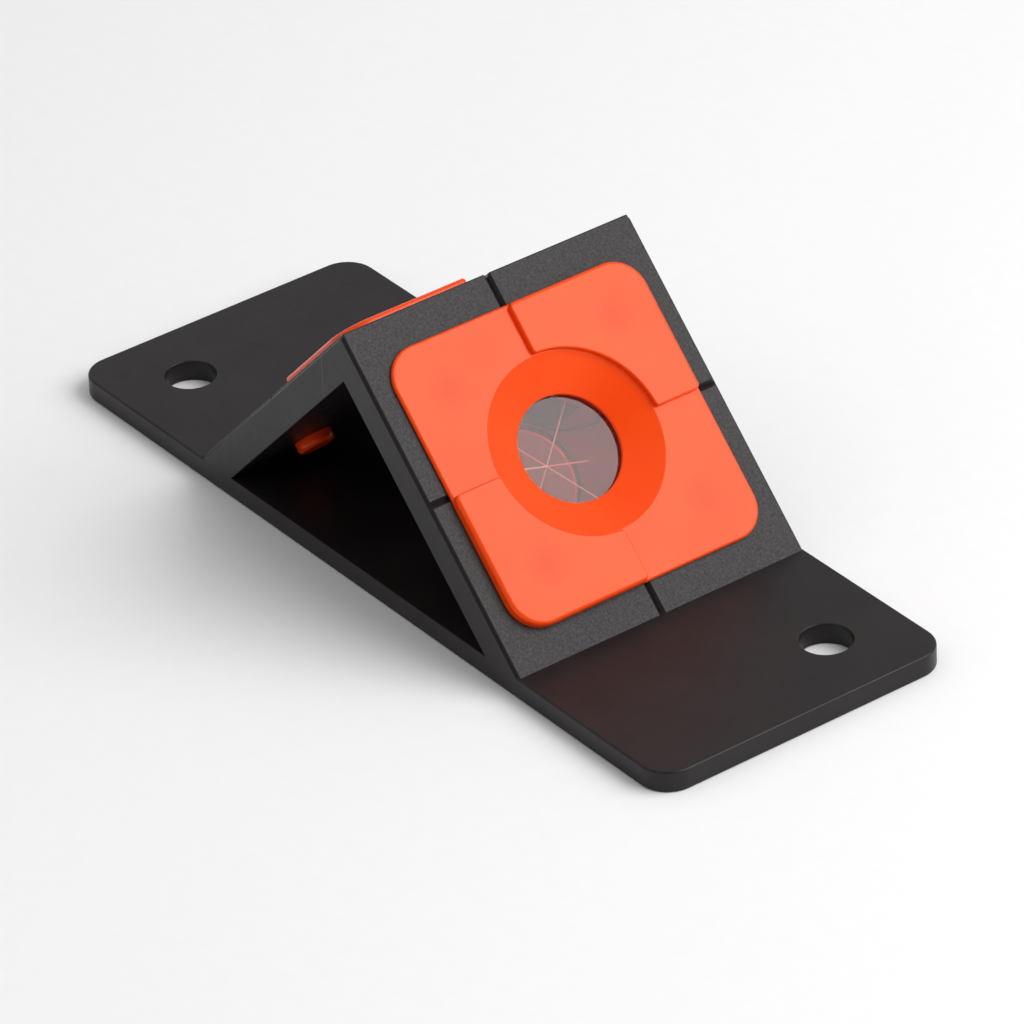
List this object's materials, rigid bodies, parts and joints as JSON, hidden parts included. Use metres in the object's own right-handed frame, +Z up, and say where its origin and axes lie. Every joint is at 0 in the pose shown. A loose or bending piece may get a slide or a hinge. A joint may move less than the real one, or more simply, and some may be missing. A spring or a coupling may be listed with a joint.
{
  "type": "two-sided monitoring prism target",
  "caption": "Low survey target: a black base and triangular tunnel frame with an orange sighting plate and a corner-cube prism on each 45 degree face.",
  "frame": {"origin": "middle of the base plate's underside", "axes": "+X along the base towards the front target, +Y across the base, +Z up from the mounting surface"},
  "size_m": [0.15, 0.054, 0.0443],
  "materials": {
    "black_plastic": "satin moulded black plastic, fine spark-eroded grain on the raised lands",
    "orange_plastic": "soft semi-gloss fluorescent orange-red moulded plastic",
    "prism_glass": "polished optical glass with a coated corner-cube back",
    "seal_rubber": "matt black rubber",
    "cushion_rubber": "matt dark grey elastomer",
    "cup_plastic": "matt black moulded plastic"
  },
  "bodies": {
    "root": {"base_frame": "black_plastic", "front_target": "orange_plastic", "front_seal_ring": "seal_rubber", "front_prism": "prism_glass", "front_cushion_ring": "cushion_rubber", "front_prism_cup": "cup_plastic", "rear_target": "orange_plastic", "rear_seal_ring": "seal_rubber", "rear_prism": "prism_glass", "rear_cushion_ring": "cushion_rubber", "rear_prism_cup": "cup_plastic"}
  },
  "joints": []
}
